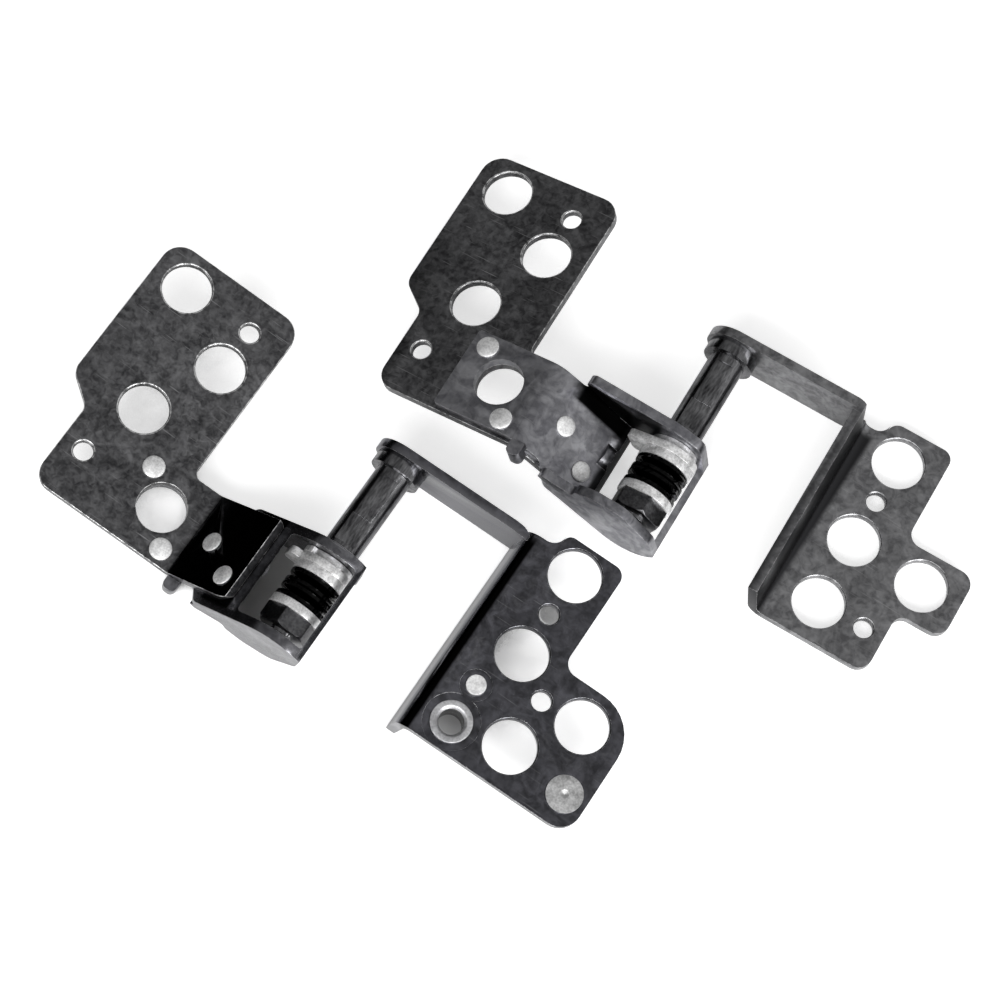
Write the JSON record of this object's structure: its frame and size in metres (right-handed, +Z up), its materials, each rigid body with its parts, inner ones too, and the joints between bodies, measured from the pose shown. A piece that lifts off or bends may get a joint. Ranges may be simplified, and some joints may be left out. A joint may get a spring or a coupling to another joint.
{
  "type": "laptop hinge pair",
  "caption": "Pair of folded-sheet friction hinges: riveted clutch plate, spring-washer stack on a shaft, and a cranked arm plate with screw holes.",
  "frame": {"origin": "centre of the pair's bounding box, at the lowest point", "axes": "+Y along the left hinge's shaft from its clutch to its arm, +X from its clutch plate towards its arm plate, +Z up from the surface the pair lies on"},
  "size_m": [0.0868, 0.0584, 0.009],
  "materials": {
    "clutch_plate_steel": "matt black-nickel plated steel sheet",
    "bracket_steel": "glossy black-nickel plated steel sheet",
    "left_arm_steel": "glossy black-nickel plated steel sheet",
    "right_arm_steel": "satin black-nickel plated steel sheet",
    "rivet_steel": "bare satin steel",
    "shaft_steel": "hardened and polished steel",
    "washer_steel": "bright ground steel",
    "spring_steel": "oiled black spring steel",
    "nut_steel": "black-oxide steel",
    "insert_steel": "satin plated steel"
  },
  "bodies": {
    "clutch_pair": {"left_clutch_plate": "clutch_plate_steel", "left_clutch_bracket": "bracket_steel", "left_plate_rivets": "rivet_steel", "left_tongue_rivets": "rivet_steel", "left_friction_plate": "washer_steel", "right_clutch_plate": "clutch_plate_steel", "right_clutch_bracket": "bracket_steel", "right_plate_rivets": "rivet_steel", "right_tongue_rivets": "rivet_steel", "right_friction_plate": "washer_steel"},
    "left_arm": {"left_shaft": "shaft_steel", "left_stop_washer": "washer_steel", "left_inner_washer": "washer_steel", "left_spring_washer_1": "spring_steel", "left_spring_washer_2": "spring_steel", "left_spring_washer_3": "spring_steel", "left_spring_washer_4": "spring_steel", "left_outer_washer": "washer_steel", "left_lock_nut": "nut_steel", "left_arm_bracket": "left_arm_steel", "left_threaded_insert": "insert_steel", "left_arm_rivet": "rivet_steel", "left_arm_stud": "rivet_steel"},
    "right_arm": {"right_shaft": "shaft_steel", "right_stop_washer": "washer_steel", "right_inner_washer": "washer_steel", "right_spring_washer_1": "spring_steel", "right_spring_washer_2": "spring_steel", "right_spring_washer_3": "spring_steel", "right_spring_washer_4": "spring_steel", "right_outer_washer": "washer_steel", "right_lock_nut": "nut_steel", "right_arm_bracket": "right_arm_steel"}
  },
  "joints": [
    {"name": "left_hinge", "type": "hinge", "parent": "clutch_pair", "child": "left_arm", "pos_m": [-0.01056, -0.01764, 0.0049], "axis": [0, -1, 0], "range_deg": [-10, 170]},
    {"name": "right_hinge", "type": "hinge", "parent": "clutch_pair", "child": "right_arm", "pos_m": [0.01104, 0.01146, 0.0042], "axis": [-0.0436, 0.999, 0], "range_deg": [-15, 160]}
  ]
}
